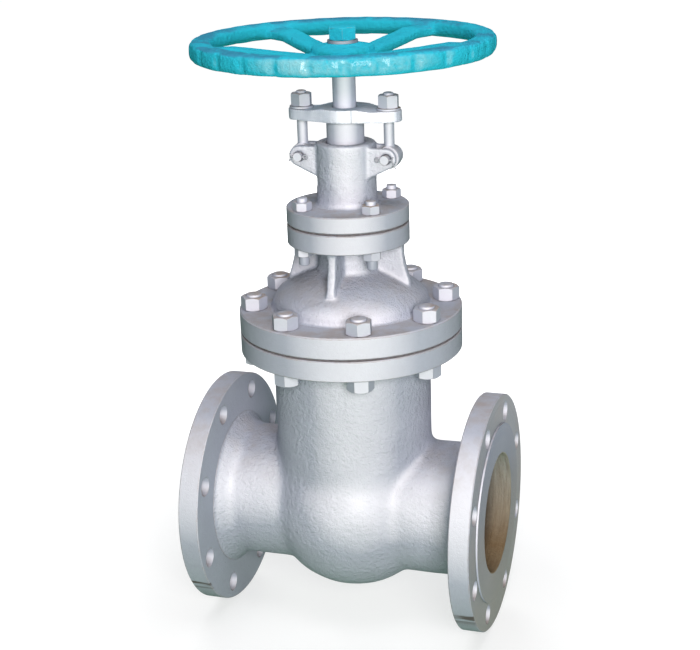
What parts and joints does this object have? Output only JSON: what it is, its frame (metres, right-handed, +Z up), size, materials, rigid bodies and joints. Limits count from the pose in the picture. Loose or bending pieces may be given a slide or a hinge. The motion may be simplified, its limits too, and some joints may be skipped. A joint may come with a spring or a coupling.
{
  "type": "gate valve",
  "caption": "Flanged cast gate valve with a non-rising stem, a domed bolted bonnet, a stuffing box with a hinged gland, and a spoked handwheel",
  "frame": {"origin": "the middle of the inlet raised face, on the pipe axis", "axes": "X along the pipe from inlet to outlet, Z up along the stem, Y across"},
  "size_m": [0.35, 0.338, 0.705],
  "materials": {
    "silver_paint": "aluminium paint on a rough casting",
    "turquoise_paint": "thick gloss paint",
    "bare_steel": "machined",
    "bronze": "machined",
    "fibre": "pressed fibre sheet"
  },
  "bodies": {
    "valve": {"valve_body": "silver_paint", "inlet_seat_ring": "bare_steel", "outlet_seat_ring": "bare_steel", "wedge": "bare_steel", "stem_nut": "bronze", "body_gasket": "fibre", "bonnet": "silver_paint", "bonnet_studs": "silver_paint", "bonnet_upper_nuts": "silver_paint", "bonnet_lower_nuts": "silver_paint", "box_gasket": "fibre", "stuffing_box": "silver_paint", "box_studs": "silver_paint", "box_upper_nuts": "silver_paint", "box_lower_nuts": "silver_paint", "packing": "fibre", "gland_bush": "silver_paint", "gland_plate": "silver_paint", "eye_bolts": "silver_paint", "hinge_pins": "silver_paint", "split_pins": "silver_paint", "gland_washers": "silver_paint", "gland_nuts": "silver_paint"},
    "wheel": {"stem": "silver_paint", "handwheel": "turquoise_paint", "wheel_washer": "silver_paint", "wheel_nut": "turquoise_paint"}
  },
  "joints": [
    {"name": "handwheel_turn", "type": "hinge", "parent": "valve", "child": "wheel", "pos_m": [0.175, 0, 0.5445], "axis": [0, 0, 1], "range_deg": [0, 10530]}
  ]
}
